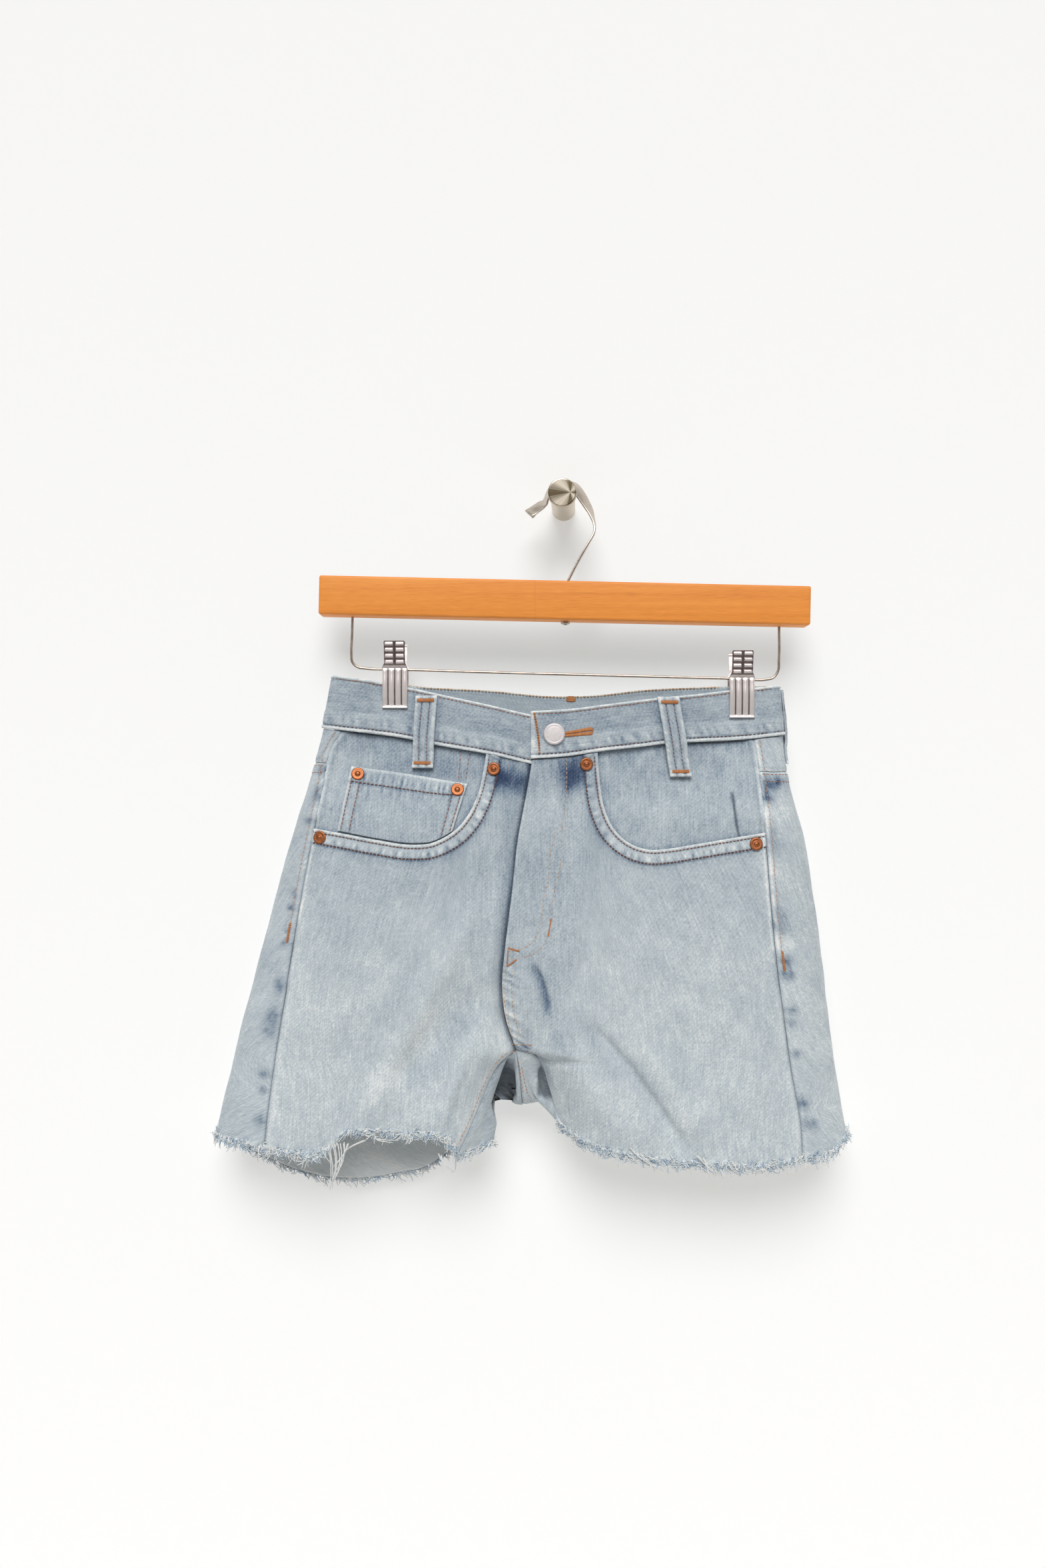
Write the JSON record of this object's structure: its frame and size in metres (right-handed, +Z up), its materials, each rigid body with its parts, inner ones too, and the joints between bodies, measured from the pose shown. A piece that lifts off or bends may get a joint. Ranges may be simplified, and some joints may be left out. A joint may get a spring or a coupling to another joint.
{
  "type": "denim shorts on a clip hanger",
  "caption": "Light-wash denim cut-off shorts with frayed hems, clipped by the waistband to a wooden trouser hanger that hangs from a round wall peg.",
  "frame": {"origin": "centre of the wall peg's back face, on the wall", "axes": "+Z up, -Y out of the wall towards the viewer of the front, +X to that viewer's right, which is the wearer's left"},
  "size_m": [0.4802, 0.0751, 0.5495],
  "materials": {
    "denim": "washed cotton twill, pale blue",
    "loose_threads": "ravelled cotton yarn, off-white and pale blue",
    "button_metal": "worn pale metal",
    "copper": "dull copper",
    "beech": "clear lacquered, honey orange",
    "wire": "plated steel",
    "clip_chrome": "polished",
    "peg_steel": "brushed"
  },
  "bodies": {
    "root": {"front_right": "denim", "front_left": "denim", "pocket_facing_right": "denim", "pocket_facing_left": "denim", "coin_pocket": "denim", "back_right": "denim", "back_left": "denim", "yoke_right": "denim", "yoke_left": "denim", "back_pocket_right": "denim", "back_pocket_left": "denim", "waistband": "denim", "belt_loop_front_right": "denim", "belt_loop_front_left": "denim", "belt_loop_side_right": "denim", "belt_loop_side_left": "denim", "belt_loop_centre_back": "denim", "hem_fray_front_right": "loose_threads", "hem_fray_front_left": "loose_threads", "hem_fray_back_right": "loose_threads", "hem_fray_back_left": "loose_threads", "button": "button_metal", "rivet_right_outer": "copper", "rivet_right_inner": "copper", "rivet_left_inner": "copper", "rivet_left_outer": "copper", "rivet_coin_outer": "copper", "rivet_coin_inner": "copper", "hanger_bar": "beech", "hanger_wire": "wire", "hanger_hook": "wire", "clip_right_front_jaw": "clip_chrome", "clip_right_back_jaw": "clip_chrome", "clip_right_spring": "clip_chrome", "clip_left_front_jaw": "clip_chrome", "clip_left_back_jaw": "clip_chrome", "clip_left_spring": "clip_chrome", "wall_peg": "peg_steel"}
  },
  "joints": []
}
